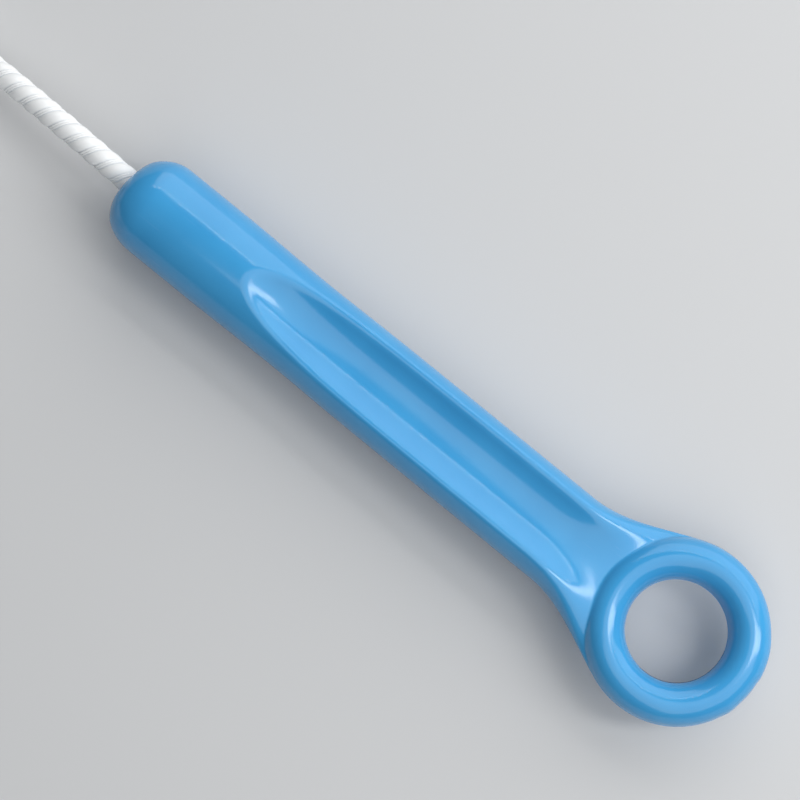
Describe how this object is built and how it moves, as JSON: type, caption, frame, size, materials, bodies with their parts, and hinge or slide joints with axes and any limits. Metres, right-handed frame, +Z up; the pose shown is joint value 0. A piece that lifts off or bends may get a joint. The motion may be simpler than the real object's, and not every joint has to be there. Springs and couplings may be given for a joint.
{
  "type": "hand drain auger",
  "caption": "Hand-turned drain hair auger: moulded handle with thumb groove and finger ring, and a twisted sheathed cable that ends in a flat hooked head.",
  "frame": {"origin": "middle of the handle's base, where it rests on a flat surface", "axes": "+X runs along the handle from the finger ring to the nose, +Y across it, +Z up, square to the ring's plane"},
  "size_m": [0.236, 0.0735, 0.0193],
  "materials": {
    "handle_plastic": "glossy sky blue moulded plastic",
    "cable_sheath": "satin white soft plastic",
    "core_steel": "drawn steel wire",
    "crimp_steel": "bright zinc-plated steel",
    "tie_strap": "black woven strap",
    "head_plastic": "white moulded plastic",
    "hook_nylon": "translucent white nylon hooks"
  },
  "bodies": {
    "root": {"front_shell": "handle_plastic", "back_shell": "handle_plastic", "cable_sheath_end": "cable_sheath", "cable_core_end": "core_steel", "crimp_sleeve": "crimp_steel", "stop_washer": "crimp_steel", "cable_run": "cable_sheath", "cable_coil": "cable_sheath", "cable_tail": "cable_sheath", "coil_tie_near": "tie_strap", "coil_tie_far": "tie_strap", "tip_ferrule": "crimp_steel", "tip_head": "head_plastic", "hook_pad_top": "hook_nylon", "hook_pad_bottom": "hook_nylon"}
  },
  "joints": []
}
